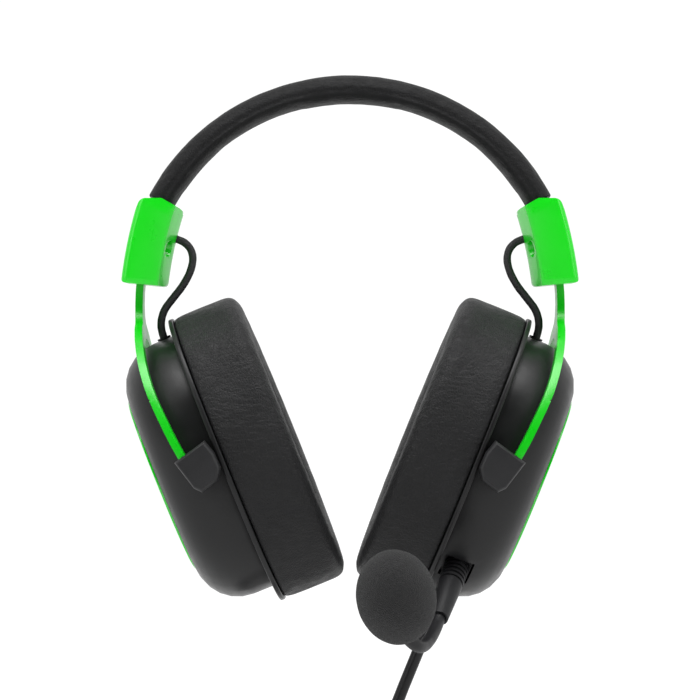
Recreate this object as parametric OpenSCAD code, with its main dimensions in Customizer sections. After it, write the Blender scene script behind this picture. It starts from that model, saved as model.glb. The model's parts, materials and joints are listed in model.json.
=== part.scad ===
// Closed-back gaming headset: padded headband, two green yokes in green clips,
// two tilting oval ear cups, a plug-in microphone and a corded audio lead.
// Millimetres. +Z is up, +X is the wearer's left, the wearer faces -Y.
// The origin is the top of the head: the middle of the headband's underside.

/* [Headband] */
// Radius of the headband's underside
band_r = 72.8; // [72.4:0.1:73.2]
// Radial thickness of the padded headband
band_t = 10; // [9.6:0.1:10.4]
// Width of the headband, front to back
band_w = 22; // [20:0.5:22]
// Thickness of the leather sleeve
sleeve_t = 1.2; // [1:0.1:1.5]

/* [Clips and yokes] */
// Angle from straight up at which each clip starts
clip_from = 60.6; // [60.2:0.1:61]
// Angle from straight up at which each clip ends
clip_to = 84.5; // [84.2:0.1:84.8]
// Width of each clip, front to back
clip_w = 25; // [24.5:0.1:26]
// Radius of the curved yoke
yoke_r = 76; // [75.8:0.1:76.2]
// Thickness of the yoke's pressed plate
yoke_t = 2.7; // [2.4:0.1:2.8]
// Travel of each size slider
slider_travel = 16; // [8:1:16]

/* [Ear cups] */
// Lean of each ear cup away from upright
cup_lean = 22; // [20:0.5:23]
// Height of the cushion
cushion_h = 108.4; // [106:0.2:109]
// Width of the cushion, front to back
cushion_w = 87; // [84:0.5:87]
// Depth of the cushion
cushion_d = 25; // [22:0.5:25]
// Height of the ear opening
ear_h = 62; // [58:1:66]
// Width of the ear opening
ear_w = 42; // [38:1:46]
// Height of the hard shell
shell_h = 97.4; // [96:0.2:98]
// Width of the hard shell, front to back
shell_w = 78; // [76:0.5:78]
// Depth of the hard shell outside the baffle
shell_d = 24; // [23.4:0.1:24.4]
// Wall of the hard shell
shell_wall = 2; // [1.6:0.1:2.4]
// Diameter of the speaker driver
driver_d = 53; // [50:1:53]

/* [Microphone] */
// Diameter of the flexible boom
boom_d = 4.5; // [4:0.1:5]
// Diameter of the foam windscreen
foam_d = 27; // [25:0.5:28]
// Length of the foam windscreen
foam_l = 34.6; // [33:0.2:35]

/* [Cables] */
// Diameter of the audio lead
lead_d = 4.4; // [4:0.1:4.4]
// Diameter of the braided link cables
link_d = 2.8; // [2.6:0.1:2.9]

/* [Hidden] */

$fn = 64;
tiny = 0.01;
green = [0.1, 0.88, 0.14];
black = [0.09, 0.09, 0.1];

// Headband arc
band_z = -band_r;

// Clip: straighter than the headband, so its radii are about a centre further back
clip_centre = [-75.8, -82.6];
clip_outer_r = 159;
clip_face_r = 145.7;
clip_ridge_r = 142.6;
clip_corner = 2.2;
clip_round = 1.4;
clip_top = -34.7;
clip_wall_r = clip_outer_r - 2;
clip_floor_r = 75.5;
clip_seat_r = 73.1;
clip_end_wall = 2.8;
clip_screw_y = 7.3;
clip_screw_angle = 73;
link_hole_angle = 69.4;
spring_end = 64;
cover_end = clip_from + 1.8;

// Yoke
stem_angle = 83.5;
stem_l = 26;
stem_w = 12;
guide_z0 = 2.8;
guide_h = 24 - slider_travel - guide_z0 - 0.1;
arc_end = 119.5;
tail_r = 77.4;
tail_from = 11.5;
tail_l = 21;
bend_angle = 116;
// Middle of the arms' plate from the stem's foot to the straight ends, [x, z]
arm_path = [[75.44, -63.6], [75.51, -64.2], [75.88, -68.6], [76, -72.8], [75.92, -77],
    [75.62, -81.2], [75.04, -85.4], [74.3, -89.4], [73.35, -93.6], [72.08, -98],
    [70.63, -102.2], [69, -106.2], [67.1, -110.2], [65.1, -114.2], [63.2, -118],
    [61.21, -121.79], [60.96, -122.23]];
bend_at = 11;
arch_z = -130;
arch_in = [41.3, 45];
arch_out = [48, 51.5];

// Cup: the frame's x runs down the cup, z runs outwards from the head
cup_x = 44.4;
cup_z = -128.7;
lip_t = 1.8;
lip_grow = 0.4;
shell_z0 = lip_t / 2;
shell_z1 = shell_z0 + shell_d;
edge_r = 16;
plate_proud = 0.4;
oval_power = 2.3;

// Pivot of the cup in the world and in the cup's frame
pivot = [53.6, -130.2];
pivot_x = -2.05;
pivot_z = 9.1;
pin_r = 2;
pin_gap = 0.05;
block_y = [40.2, 49.5];

// Microphone, in the cup's frame
mic_angle = 50;
mic_seat = [36.8, -25, 7.7];
mic_sink = 6;
grip_l = 28.5;

// Audio lead: leaves the shell along the cup, ends in a flat coil
exit_x = shell_h / 2;
exit_z = 7.7;
coil_rings = 3;
coil_layers = 4;
coil_pitch = lead_d + 0.1;
coil_r0 = 29.4;
coil_top = -233.4;
coil_centre = [-5.8, coil_r0];
coil_floor = coil_top - (coil_layers - 1) * coil_pitch - lead_d / 2;
plug_r = 4;

// Route of the audio lead from the strain relief to the coil
lead_route = [[26, 0, -194.8], [23, 0, -202.2], [19.6, 0, -210.5], [16.4, 0, -218.4],
    [12.9, 0, -224.5], [7.6, 0, -229.3], [1.2, 0, -232.4], [-5.8, 0, -233.4]];

// Route of the link cable from the clip to the shell
link_route = [[65, 0, -48.4], [62.4, 0, -49.2], [59.7, 0, -50.5], [57.6, 0, -53],
    [56.9, 0, -56.6], [58, 0, -61.2], [60.6, 0, -66], [63.9, 0, -70.3],
    [66.8, 0, -74.2], [68.1, 0, -77.6], [68.3, 0, -81], [67.5, 0, -84.4]];

// Route of the microphone boom from the grip to the capsule
boom_route = [[31.56, -44.69, -181], [30.14, -49.2, -184.5], [28.6, -55, -187.2],
    [26.8, -61, -189.3], [25, -67, -190.3], [23, -72.4, -189.9], [20.3, -75.9, -187.6],
    [18.4, -78, -184.7], [17.22, -79.56, -181.76], [16.71, -81.62, -178.86]];

// ---------- points and sweeps ----------

// A rounded rectangle as points, n points to each corner
function rounded_rect(w, h, r, n = 6) = [
    for (c = [[1, 1, 0], [-1, 1, 90], [-1, -1, 180], [1, -1, 270]])
        for (i = [0 : n])
            let (a = c[2] + 90 * i / n)
                [c[0] * (w / 2 - r) + r * cos(a), c[1] * (h / 2 - r) + r * sin(a)]];

// One ring of an oval that is fuller than an ellipse
function oval(h, w, z = 0, n = 48) = [
    for (i = [0 : n - 1])
        let (a = 360 * i / n, c = cos(a), s = sin(a))
            [h / 2 * sign(c) * pow(abs(c), 2 / oval_power),
             w / 2 * sign(s) * pow(abs(s), 2 / oval_power), z]];

function flat(points) = [for (p = points) [p[0], p[1]]];
function unit(v) = v / norm(v);

// Skin between rings that all have n points; closed loops back to the first ring
function skin(n, count, closed) = [
    for (k = [0 : count - (closed ? 1 : 2)])
        for (i = [0 : n - 1])
            let (a = k * n, b = ((k + 1) % count) * n, j = (i + 1) % n)
                for (t = [[a + i, b + i, a + j], [a + j, b + i, b + j]]) t];

// Solid through a stack of rings, from the lowest ring to the highest
module loft(rings) {
    n = len(rings[0]);
    count = len(rings);
    polyhedron(
        [for (r = rings) for (p = r) p],
        concat([[for (i = [0 : n - 1]) i]],
            skin(n, count, false),
            [[for (i = [0 : n - 1]) count * n - 1 - i]]));
}

// Solid through rings that close on themselves
module loop_loft(rings) {
    n = len(rings[0]);
    polyhedron([for (r = rings) for (p = r) p], skin(n, len(rings), true));
}

// Round tube along a route that bends in a vertical plane that holds the y axis or x axis
function along(route, i) = unit(route[min(i + 1, len(route) - 1)] - route[max(i - 1, 0)]);
function ring_at(p, d, r, n, side) =
    let (u = unit(cross(d, side)), v = cross(d, u))
        [for (k = [0 : n - 1]) p + r * (cos(360 * k / n) * u + sin(360 * k / n) * v)];
module tube(route, d, n, side) {
    loft([for (i = [0 : len(route) - 1])
        ring_at(route[i], along(route, i), d / 2, n, side)]);
}

// ---------- places ----------

// Swept sector about the headband's axis, the child's x is the radius
module about_band(from, to) {
    translate([0, 0, band_z])
        rotate([90, 0, 0])
            rotate([0, 0, 90 - to])
                rotate_extrude(angle = to - from, $fn = 180) children();
}

// Ring about the clip's own centre, between two radii and full width
module clip_ring(from_r, to_r) {
    translate([clip_centre[0], 0, clip_centre[1]])
        rotate([90, 0, 0])
            rotate([0, 0, -4])
                rotate_extrude(angle = 30, $fn = 240)
                    translate([from_r, -20]) square([to_r - from_r, 40]);
}

// Radial direction at an angle from straight up, child's z points outwards
module at_band(angle) {
    translate([0, 0, band_z]) rotate([0, angle, 0]) children();
}

// Foot of the yoke's stem, child's z runs up the stem and x points outwards
module at_stem() {
    at_band(stem_angle) translate([0, 0, yoke_r]) rotate([0, -90, 0]) children();
}

module at_cup() {
    translate([cup_x, 0, cup_z]) rotate([0, 90 + cup_lean, 0]) children();
}

// Microphone socket, child's z points out of the shell along the plug
module at_mic() {
    at_cup() translate(mic_seat) rotate([0, 0, -mic_angle]) rotate([0, 90, 0]) children();
}

module other_side() {
    mirror([1, 0, 0]) children();
}

// ---------- headband ----------

module band_section(r0, r1, w, corner) {
    translate([(r0 + r1) / 2, 0])
        polygon(rounded_rect(r1 - r0, w, corner));
}

module headband_cover() {
    color(black)
        difference() {
            about_band(-cover_end, cover_end)
                band_section(band_r, band_r + band_t, band_w, 4.2);
            about_band(-cover_end - 1, cover_end + 1)
                band_section(band_r + sleeve_t, band_r + band_t - sleeve_t,
                    band_w - 2 * sleeve_t, 3);
        }
}

// Section of a layer inside the sleeve, between two radii
module sleeve_layer(from_r, to_r) {
    intersection() {
        band_section(band_r + sleeve_t + 0.1, band_r + band_t - sleeve_t - 0.1,
            band_w - 2 * sleeve_t - 0.2, 2.9);
        translate([from_r, -band_w / 2]) square([to_r - from_r, band_w]);
    }
}

module headband_foam() {
    color("dimgray")
        about_band(-cover_end, cover_end) sleeve_layer(band_r, 77);
}

module spring_band() {
    color("silver")
        about_band(-spring_end, spring_end)
            translate([77.1, -7]) square([0.8, 14]);
}

module headband_core() {
    color("dimgray")
        about_band(-cover_end, cover_end) sleeve_layer(78, 81.4);
}

// ---------- clips ----------

// Where a ray from the headband's centre meets a circle about the clip's centre
function clip_reach(r, angle) =
    let (o = [-clip_centre[0], band_z - clip_centre[1]],
        along = o[0] * sin(angle) + o[1] * cos(angle))
        sqrt(along * along - o * o + r * r) - along;

// Section of the clip, x is the radius about the clip's centre: round outside, ridged inside
module clip_outline() {
    half = clip_w / 2;
    corner = [for (a = [0 : 15 : 90])
        [clip_outer_r - clip_corner * (1 - sin(a)), half - clip_corner * (1 - cos(a))]];
    side = concat([[clip_ridge_r, 1.6], [clip_ridge_r + 0.15, 2.4],
        [clip_face_r - 0.15, half - 0.5], [clip_face_r + 0.9, half]], corner);
    polygon(concat(side, [for (i = [len(side) - 1 : -1 : 0]) [side[i][0], -side[i][1]]]));
}

// Round corner at p between two edges that leave it along u and v
function round_corner(p, u, v, steps) =
    [for (a = steps) p + clip_round * ((1 - sin(a)) * u + (1 - cos(a)) * v)];

// Corner of the clip seen along y, where a circle about the clip's centre meets an end
function clip_corner_at(r, angle) =
    let (reach = clip_reach(r, angle))
        [reach * sin(angle), band_z + reach * cos(angle)];
function radial(angle) = [sin(angle), cos(angle)];
function tangent(angle) = [cos(angle), -sin(angle)];

// The clip seen along y: its ends, flat top and shoulder. It is wider than the sides need.
function clip_front() = concat(
    [[40, -50]],
    round_corner(clip_corner_at(clip_ridge_r, clip_from), radial(clip_from),
        tangent(clip_from), [90, 60, 30, 0]),
    [[(clip_top - band_z) * tan(clip_from), clip_top], [73.6, clip_top],
        [74.6, clip_top - 0.25], [75.4, clip_top - 0.8], [76, clip_top - 1.6],
        [76.4, clip_top - 2.6], [77.3, clip_top - 4.8], [100, -45], [100, -75]],
    round_corner(clip_corner_at(clip_outer_r, clip_to), -radial(clip_to),
        -tangent(clip_to), [90, 60, 30, 0]),
    round_corner(clip_corner_at(clip_ridge_r, clip_to), radial(clip_to),
        -tangent(clip_to), [0, 30, 60, 90]),
    [[40, -70]]);

// Solid of the clip and its cover together
module clip_body() {
    intersection() {
        translate([clip_centre[0], 0, clip_centre[1]])
            rotate([90, 0, 0])
                rotate([0, 0, -4])
                    rotate_extrude(angle = 30, $fn = 240) clip_outline();
        rotate([90, 0, 0]) linear_extrude(40, center = true) polygon(clip_front());
    }
}

module left_clip() {
    color(green)
        difference() {
            clip_body();
            clip_ring(clip_face_r - 30, clip_face_r);
            // hollow for the stem, open towards the headband
            intersection() {
                about_band(clip_from - 1, clip_to - clip_end_wall)
                    translate([clip_floor_r, -10.3]) square([12, 20.6]);
                clip_ring(clip_face_r, clip_wall_r);
            }
            at_stem() {
                translate([-1.6, -6.4, -5]) cube([3.2, 12.8, 12]);
                translate([-1.6, -8.3, 6]) cube([3.2, 16.6, 7]);
            }
            // pocket for the end of the headband
            about_band(clip_from - 1, cover_end + 0.2)
                band_section(band_r - 0.1, band_r + band_t + 0.1, band_w + 0.2, 4.2);
            // seat of the cover, its screws and the link cable
            intersection() {
                about_band(clip_from + 2.4, clip_to - 1.5)
                    translate([65, -10.5]) square([clip_seat_r - 65, 21]);
                clip_ring(clip_face_r - 1, clip_outer_r);
            }
            for (y = [-clip_screw_y, clip_screw_y])
                at_band(clip_screw_angle)
                    translate([0, y, 70]) cylinder(r = 1.25, h = 5);
            at_band(link_hole_angle) translate([0, 0, 70]) cylinder(r = 1.7, h = 8);
        }
}

module left_clip_cover() {
    color(green)
        difference() {
            union() {
                intersection() {
                    clip_body();
                    clip_ring(clip_face_r - 30, clip_face_r);
                }
                intersection() {
                    about_band(clip_from + 2.5, clip_to - 1.6)
                        translate([65, -10.4]) square([clip_seat_r - 65.1, 20.8]);
                    clip_ring(clip_face_r - 0.5, clip_outer_r);
                }
            }
            for (y = [-clip_screw_y, clip_screw_y])
                at_band(clip_screw_angle) {
                    translate([0, y, 60]) cylinder(r = 3, h = 11.3);
                    translate([0, y, 60]) cylinder(r = 1.45, h = 15);
                }
            at_band(link_hole_angle) translate([0, 0, 60]) cylinder(r = 1.7, h = 15);
        }
}

module screw(head_r, head_h, shank_r, shank_l) {
    difference() {
        union() {
            translate([0, 0, -head_h]) cylinder(r = head_r, h = head_h);
            cylinder(r = shank_r, h = shank_l);
        }
        for (a = [0, 90])
            rotate([0, 0, a])
                translate([-head_r * 0.6, -0.3, -head_h - 1]) cube([head_r * 1.2, 0.6, 1.7]);
    }
}

module left_clip_screws() {
    color("silver")
        for (y = [-clip_screw_y, clip_screw_y])
            at_band(clip_screw_angle)
                translate([0, y, 71.3]) screw(2.7, 1.5, 1.25, 3.4);
}

module left_slider_guide() {
    color("dimgray")
        difference() {
            at_stem()
                translate([-5, -10.2, guide_z0]) cube([20, 20.4, guide_h]);
            about_band(clip_from, 95)
                translate([60, -20]) square([clip_floor_r + 0.05 - 60, 40]);
            clip_ring(clip_wall_r - 0.05, clip_outer_r + 20);
            at_stem()
                translate([-yoke_t / 2 - 0.1, -stem_w / 2 - 0.1, -1])
                    cube([yoke_t + 0.2, stem_w + 0.2, 30]);
        }
}

// ---------- yokes ----------

// Outline of the yoke seen along x: y across, z up
function arch(size, from, to, n) = [
    for (i = [0 : n])
        let (t = from + (to - from) * i / n)
            [size[0] * sin(t), arch_z + size[1] * cos(t)]];
function mirrored(points) = [
    for (i = [len(points) - 1 : -1 : 0]) [-points[i][0], points[i][1]]];

function reversed(points) = [for (i = [len(points) - 1 : -1 : 0]) points[i]];

// Points at a distance to the left of a flat path
function path_side(path, away) = [
    for (i = [0 : len(path) - 1])
        let (d = along(path, i)) path[i] + away * [-d[1], d[0]]];

module yoke_outline() {
    fillet = [[stem_w / 2, -20], [stem_w / 2, -70], [6.15, -72.5], [6.5, -74.4], [7.15, -76.2],
        [8.3, -78]];
    outer = concat(fillet, arch(arch_out, 12, 90, 16), [[arch_out[0], arch_z - 20]]);
    inner = concat([[arch_in[0], arch_z - 20]], arch(arch_in, 90, 0, 16));
    half = concat(outer, inner);
    polygon(concat(half, mirrored(half)));
}

module yoke_profile() {
    half_t = yoke_t / 2;
    // stem inside the clip, with a stop across its top
    at_stem() translate([-half_t, -20, -0.5]) cube([yoke_t, 40, stem_l + 0.5]);
    rotate([90, 0, 0])
        linear_extrude(120, center = true)
            polygon(concat(path_side(arm_path, half_t), path_side(reversed(arm_path), half_t)));
    at_band(arc_end)
        translate([tail_from, -60, tail_r - half_t])
            cube([tail_l - tail_from, 120, yoke_t]);
}

module left_yoke() {
    color(green)
        difference() {
            union() {
                intersection() {
                    yoke_profile();
                    translate([30, 0, 0])
                        rotate([90, 0, 90])
                            linear_extrude(70) yoke_outline();
                }
                at_stem()
                    translate([-yoke_t / 2, -8, stem_l - 2]) cube([yoke_t, 16, 2]);
            }
            // bend line across each arm, and the size marks on the stem
            translate([arm_path[bend_at][0], 0, arm_path[bend_at][1]])
                rotate([0, bend_angle, 0])
                    translate([-0.25, -60, yoke_t / 2 - 0.35]) cube([0.5, 120, 1]);
            at_stem()
                for (z = [4 : 2 : 20])
                    translate([yoke_t / 2 - 0.25, -3, z]) cube([1, 6, 0.6]);
        }
}

// Block that joins an arm of the yoke to its pivot pin, offsets from the pivot
block_outline = [[7.5, 1.8], [-2.9, 9.5], [-6.4, 5.3], [-8.7, 0.1], [-7.8, -4.3], [-2.3, -8.6],
    [0.6, -7.2]];
// Its narrower root clears the cup's lip as the cup tilts
block_root = [[7, 1.8], [-2.9, 9], [-6.6, 2.1], [-6.6, -4], [-2.3, -8], [1, -6.6]];
root_y = 44.4;

module block_slice(y, grow, outline) {
    translate([0, y, 0])
        rotate([90, 0, 0])
            linear_extrude(tiny, center = true)
                scale(grow) polygon(outline);
}

module pivot_block(side) {
    face = side * block_y[1];
    color([0.16, 0.16, 0.17])
        difference() {
            translate([pivot[0], 0, pivot[1]]) {
                hull() {
                    block_slice(side * block_y[0], 1, block_root);
                    block_slice(side * (root_y + 0.2), 1, block_root);
                }
                hull() {
                    block_slice(side * root_y, 1, block_outline);
                    block_slice(face - side * 1.3, 1, block_outline);
                    block_slice(face - side * 0.4, 0.94, block_outline);
                    block_slice(face, 0.86, block_outline);
                }
            }
            translate([pivot[0], side * 30, pivot[1]])
                rotate([-90 * side, 0, 0]) cylinder(r = pin_r, h = 14);
            // slot for the arm's lower end, closed by the block's face
            at_band(arc_end)
                translate([0, -arch_out[0] - 0.05, tail_r - yoke_t / 2 - 0.02])
                    cube([tail_l + 0.05, 2 * arch_out[0] + 0.1, yoke_t + 0.04]);
        }
}

module left_front_pivot_block() {
    pivot_block(-1);
}

module left_rear_pivot_block() {
    pivot_block(1);
}

module left_pivot_pins() {
    color("silver")
        for (side = [-1, 1])
            translate([pivot[0], side * 34, pivot[1]])
                rotate([-90 * side, 0, 0]) cylinder(r = pin_r, h = 10);
}

module left_link_cable() {
    color(black) tube(link_route, link_d, 8, [0, 1, 0]);
}

// ---------- ear cups ----------

function shell_rings(inset, z0, z1) = [
    for (s = concat([[0, z0], [0, z1 - edge_r]],
            [for (a = [15 : 15 : 90]) [1 - cos(a), z1 - edge_r + edge_r * sin(a)]]))
        oval(shell_h - 2 * inset - 2 * s[0] * (edge_r - inset),
            shell_w - 2 * inset - 2 * s[0] * (edge_r - inset), s[1])];

screw_places = [[-39.6, 12.6], [-39.6, -12.6], [39.6, 12.6], [39.6, -9]];
grommet_z = 4.8;
board_place = [-24, -9, 18.2];

module shell_blank() {
    loft(shell_rings(0, shell_z0, shell_z1));
}

module shell_hollow() {
    loft(shell_rings(shell_wall, shell_z0 - 1, shell_z1 - shell_wall));
}

module shell(mic_side) {
    difference() {
        union() {
            difference() {
                shell_blank();
                shell_hollow();
            }
            for (side = [-1, 1])
                translate([pivot_x, side * 32.5, pivot_z])
                    rotate([-90 * side, 0, 0]) cylinder(r = 4.4, h = 5.6);
            intersection() {
                shell_blank();
                union() {
                    for (p = screw_places)
                        translate([p[0], p[1], shell_z0 + 0.2]) cylinder(r = 3, h = 25);
                    if (mic_side) {
                        translate(mic_seat)
                            rotate([0, 0, -mic_angle])
                                translate([-mic_sink - 3, -8, -6.6]) cube([12, 16, 13.6]);
                        for (x = [3, 17], y = [3, 15])
                            translate([board_place[0] + x, board_place[1] + y,
                                board_place[2] + 1.6])
                                cylinder(r = 1.5, h = 4);
                    }
                }
            }
        }
        for (side = [-1, 1])
            translate([pivot_x, side * 30, pivot_z])
                rotate([-90 * side, 0, 0]) cylinder(r = pin_r + pin_gap, h = 14);
        for (p = screw_places)
            translate([p[0], p[1], shell_z0 - 1]) cylinder(r = 1.22, h = 10);
        // way in for the link cable's grommet
        translate([-44, 0, grommet_z]) rotate([0, -90, 0]) cylinder(r = 2.1, h = 8);
        // seat of the face plate
        translate([0, 0, shell_z1 - 1])
            linear_extrude(3) polygon(flat(oval(66, 52)));
        if (mic_side) {
            translate(mic_seat)
                rotate([0, 0, -mic_angle]) {
                    translate([-mic_sink, -5.4, -5.2]) cube([20, 10.8, 10.8]);
                    rotate([0, 90, 0]) translate([0, 0, -20]) cylinder(r = 3.2, h = 30);
                }
            translate([40, 0, exit_z]) rotate([0, 90, 0]) cylinder(r = 3.1, h = 12);
        }
    }
}

module left_shell() {
    color(black) at_cup() shell(true);
}

module right_shell() {
    color(black) other_side() at_cup() shell(false);
}

// Green oval plate with rows of slots, like a perforated grille
module left_face_plate() {
    color(green)
        at_cup()
            difference() {
                translate([0, 0, shell_z1 - 0.95])
                    linear_extrude(plate_proud + 0.95) polygon(flat(oval(65.6, 51.6)));
                for (x = [-24 : 6 : 24], side = [-1, 1])
                    if (abs(x) > 9)
                        translate([x - 1.1, side > 0 ? 3 : -13, shell_z1 + 0.4])
                            cube([2.2, 10, 2]);
            }
}

module left_badge() {
    color("darkgray")
        at_cup()
            translate([0, 0, shell_z1 + plate_proud])
                linear_extrude(0.6) polygon(flat(oval(15, 15, 0, 24)));
}

module left_baffle() {
    color(black)
        at_cup()
            difference() {
                union() {
                    translate([0, 0, -lip_t / 2])
                        linear_extrude(lip_t)
                            polygon(flat(oval(cushion_h + 2 * lip_grow, cushion_w + 2 * lip_grow, 0, 72)));
                    translate([0, 0, lip_t / 2]) cylinder(r = driver_d / 2 + 2, h = 1.5);
                }
                translate([0, 0, -3]) cylinder(r = driver_d / 2 - 2.5, h = 8);
                translate([0, 0, lip_t / 2 - 0.4]) cylinder(r = driver_d / 2 + 0.05, h = 4);
                for (p = screw_places)
                    translate([p[0], p[1], -2]) {
                        cylinder(r = 1.5, h = 5);
                        cylinder(r = 2.5, h = 1.9);
                    }
            }
}

module left_baffle_screws() {
    color("silver")
        at_cup()
            for (p = screw_places)
                translate([p[0], p[1], -0.1]) screw(2.3, 0.8, 1.2, 8);
}

module left_driver_basket() {
    color("dimgray")
        at_cup()
            difference() {
                union() {
                    translate([0, 0, 0.55]) cylinder(r = driver_d / 2, h = 1.8);
                    translate([0, 0, 2.3]) cylinder(r = driver_d / 2 - 5.5, h = 5);
                }
                cylinder(r = driver_d / 2 - 4, h = 1.9);
                cylinder(r = driver_d / 2 - 7.5, h = 6.3);
                translate([0, 0, 5]) cylinder(r = 9, h = 4);
                for (a = [0 : 60 : 300])
                    rotate([0, 0, a]) translate([14.5, 0, 5]) cylinder(r = 2.4, h = 4);
            }
}

module left_driver_magnet() {
    color("silver")
        at_cup() {
            translate([0, 0, 7.3]) cylinder(r = 13, h = 4.5);
            translate([0, 0, 4]) cylinder(r = 8.9, h = 3.3);
        }
}

module left_driver_diaphragm() {
    color("gainsboro")
        at_cup()
            translate([0, 0, 1])
                rotate_extrude()
                    polygon([[0, 1.9], [7, 1], [8.5, 0.2], [15, 0.9], [22.4, 0.3],
                        [22.4, 0.6], [15, 1.2], [8.5, 0.5], [7, 1.3], [0, 2.2]]);
}

// Section of the cushion: [how far from the outside (0) to the ear hole (1), depth]
cushion_section = [[0.02, 0], [0, -0.12], [0, -0.6], [0.02, -0.8], [0.1, -0.93],
    [0.24, -0.99], [0.5, -1], [0.78, -0.97], [0.93, -0.86], [1, -0.7], [1, -0.1], [0.98, 0]];

module left_ear_cushion() {
    color(black)
        at_cup()
            loop_loft([for (i = [len(cushion_section) - 1 : -1 : 0])
                let (f = cushion_section[i][0])
                    oval(cushion_h + f * (ear_h - cushion_h),
                        cushion_w + f * (ear_w - cushion_w),
                        -lip_t / 2 + cushion_section[i][1] * cushion_d)]);
}

module left_speaker_cloth() {
    color("dimgray")
        at_cup()
            translate([0, 0, -lip_t / 2 - 0.6])
                linear_extrude(0.6) polygon(flat(oval(ear_h - 1.2, ear_w - 1.2)));
}

module left_cable_grommet() {
    color(black)
        at_cup()
            translate([-shell_h / 2 + 3, 0, grommet_z])
                rotate([0, -90, 0])
                    difference() {
                        union() {
                            cylinder(r = 2.05, h = 3.2);
                            translate([0, 0, 3.08]) cylinder(r = 2.5, h = 0.7);
                            translate([0, 0, 0.1]) cylinder(r = 2.5, h = 0.65);
                        }
                        translate([0, 0, -3]) cylinder(r = 1.65, h = 10);
                    }
}

module mic_jack() {
    color("dimgray")
        at_mic()
            difference() {
                translate([0, 0, -mic_sink - 15]) cylinder(r = 3.15, h = 15);
                translate([0, 0, -mic_sink - 14.6]) cylinder(r = 1.8, h = 16);
            }
}

module circuit_board() {
    color("darkgreen")
        at_cup() translate(board_place) {
            cube([20, 18, 1.6]);
            translate([3, 3, -1.2]) cube([6, 5, 1.3]);
            translate([12, 10, -2]) cube([5, 5, 2.1]);
        }
}

// ---------- audio lead ----------

module lead_strain_relief() {
    color(black)
        at_cup()
            translate([exit_x, 0, exit_z])
                rotate([0, 90, 0])
                    rotate_extrude()
                        polygon([[0, -4.6], [4.2, -4.6], [4.2, -3.2], [3, -3.2], [3, 0.4],
                            [4, 0.4], [4, 2.4], [3.7, 3], [3.5, 5], [3.1, 5], [3.1, 6.2],
                            [3.4, 6.2], [3.3, 8.4], [2.9, 8.4], [2.9, 9.6], [3.2, 9.6],
                            [3, 12], [2.7, 12], [2.7, 13.2], [2.9, 13.2], [2.6, 19.4], [0, 19.4]]);
}

module audio_lead() {
    color(black) tube(lead_route, lead_d, 10, [0, 1, 0]);
}

module audio_lead_coil() {
    inner = coil_r0 - (coil_rings - 1) * coil_pitch - lead_d / 2;
    outer = coil_r0 + lead_d / 2;
    color(black)
        translate([coil_centre[0], coil_centre[1], coil_floor])
            rotate_extrude()
                translate([inner, 0])
                    square([outer - inner, coil_top + lead_d / 2 - coil_floor]);
}

module lead_tie() {
    inner = coil_r0 - (coil_rings - 1) * coil_pitch - lead_d / 2 - 0.6;
    wide = (coil_rings - 1) * coil_pitch + lead_d + 0.8;
    high = (coil_layers - 1) * coil_pitch + lead_d + 0.2;
    color("dimgray")
        translate([coil_centre[0] - inner - wide, coil_centre[1] - 4, coil_floor - 0.1])
            difference() {
                translate([-0.7, 0, -0.7]) cube([wide + 1.4, 8, high + 1.4]);
                translate([0, -1, 0]) cube([wide, 10, high]);
            }
}

// The plug lies on the surface beside the coil, its pin along +x
plug_place = [10, coil_centre[1] + coil_r0, coil_floor + plug_r];

module plug_body() {
    color(black)
        translate(plug_place)
            rotate([0, 90, 0])
                rotate_extrude()
                    polygon([[0, -1], [2.6, -1], [3, 9], [3.9, 10], [plug_r, 12], [plug_r, 27],
                        [3.6, 28.5], [0, 28.5]]);
}

module plug_pin() {
    color("gold")
        translate(plug_place)
            rotate([0, 90, 0])
                translate([0, 0, 28.5])
                    difference() {
                        union() {
                            cylinder(r = 2.5, h = 0.8);
                            cylinder(r = 1.75, h = 12.6);
                            translate([0, 0, 12.6]) cylinder(r1 = 1.75, r2 = 0.9, h = 1.6);
                        }
                        for (z = [4.4, 7.2, 10])
                            translate([0, 0, z])
                                difference() {
                                    cylinder(r = 3, h = 0.5);
                                    translate([0, 0, -1]) cylinder(r = 1.55, h = 3);
                                }
                    }
}

// ---------- microphone ----------

module mic_plug_pin() {
    color("gold")
        at_mic()
            translate([0, 0, -mic_sink - 13.6]) {
                cylinder(r1 = 1, r2 = 1.75, h = 1.4);
                translate([0, 0, 1.4]) cylinder(r = 1.75, h = 14);
            }
}

module mic_plug_collar() {
    color(black)
        at_mic()
            translate([0, 0, -mic_sink + 0.4])
                difference() {
                    translate([-5, -5, 0]) cube([10, 10, 5.2]);
                    translate([0, 0, -1]) cylinder(r = 1.75, h = 3);
                }
}

module mic_grip() {
    color(black)
        at_mic()
            translate([0, 0, -0.4])
                difference() {
                    union() {
                        cylinder(r1 = 4.65, r2 = 4.5, h = 8);
                        translate([0, 0, 8]) cylinder(r1 = 4.5, r2 = 3.2, h = grip_l - 8);
                    }
                    for (z = [1.6 : 2 : 9.6])
                        translate([0, 0, z])
                            difference() {
                                cylinder(r = 6, h = 0.9);
                                translate([0, 0, -1]) cylinder(r = 3.9, h = 3);
                            }
                    translate([0, 0, grip_l - 3]) cylinder(r = boom_d / 2 + 0.3, h = 5);
                }
}

module mic_boom() {
    color(black) tube(boom_route, boom_d, 10, [0.8, -0.5, 0.2]);
}

// Windscreen frame: the child's z runs up the foam, from the boom's end
foam_centre = [15.5, -86.5, -172];
foam_lean = [35, -10, 0];
capsule_r = 4.6;

module at_foam() {
    translate(foam_centre) rotate(foam_lean) children();
}

module mic_capsule_housing() {
    color(black)
        at_foam()
            difference() {
                translate([0, 0, -10]) cylinder(r = capsule_r, h = 15);
                translate([0, 0, -8]) cylinder(r = capsule_r - 1, h = 14);
                translate([0, 0, -11]) cylinder(r = boom_d / 2 + 0.1, h = 5);
            }
}

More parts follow.
